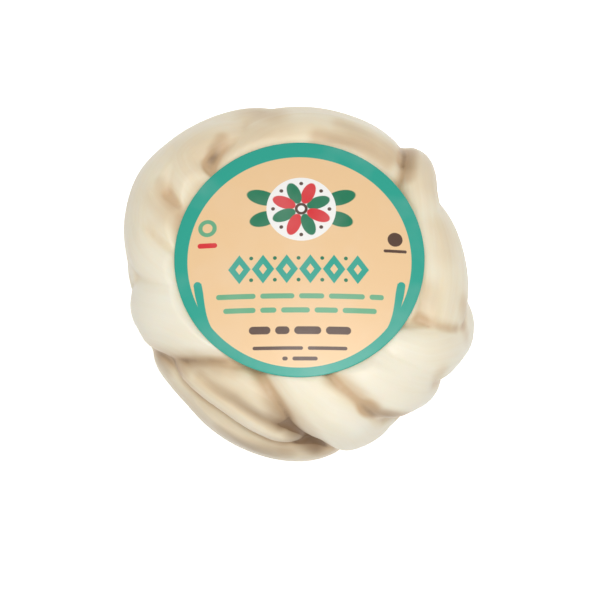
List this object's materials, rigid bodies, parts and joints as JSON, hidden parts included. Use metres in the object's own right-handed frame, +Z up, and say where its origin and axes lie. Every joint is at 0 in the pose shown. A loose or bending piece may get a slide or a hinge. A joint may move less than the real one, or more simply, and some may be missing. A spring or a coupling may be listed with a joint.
{
  "type": "oaxaca string cheese ball",
  "caption": "Large white ball of pulled string cheese, one thick rope wound over itself into a flattened ball, with a round paper label on its crown; rests on its flat foot.",
  "frame": {"origin": "under the middle of the ball, on the plane of its flat foot", "axes": "+Z up through the crown and the label; +Y away from the label's foot, towards the far side; +X to the right of the label as it is read"},
  "size_m": [0.1958, 0.204, 0.0878],
  "materials": {
    "cheese": "moist satin skin of pulled curd, creamy white, with fine strings along each strand and tan folds",
    "label": "smooth coated paper, peach field with a teal rim, plain bars and a rosette"
  },
  "bodies": {
    "root": {"cheese": "cheese", "label": "label"}
  },
  "joints": []
}
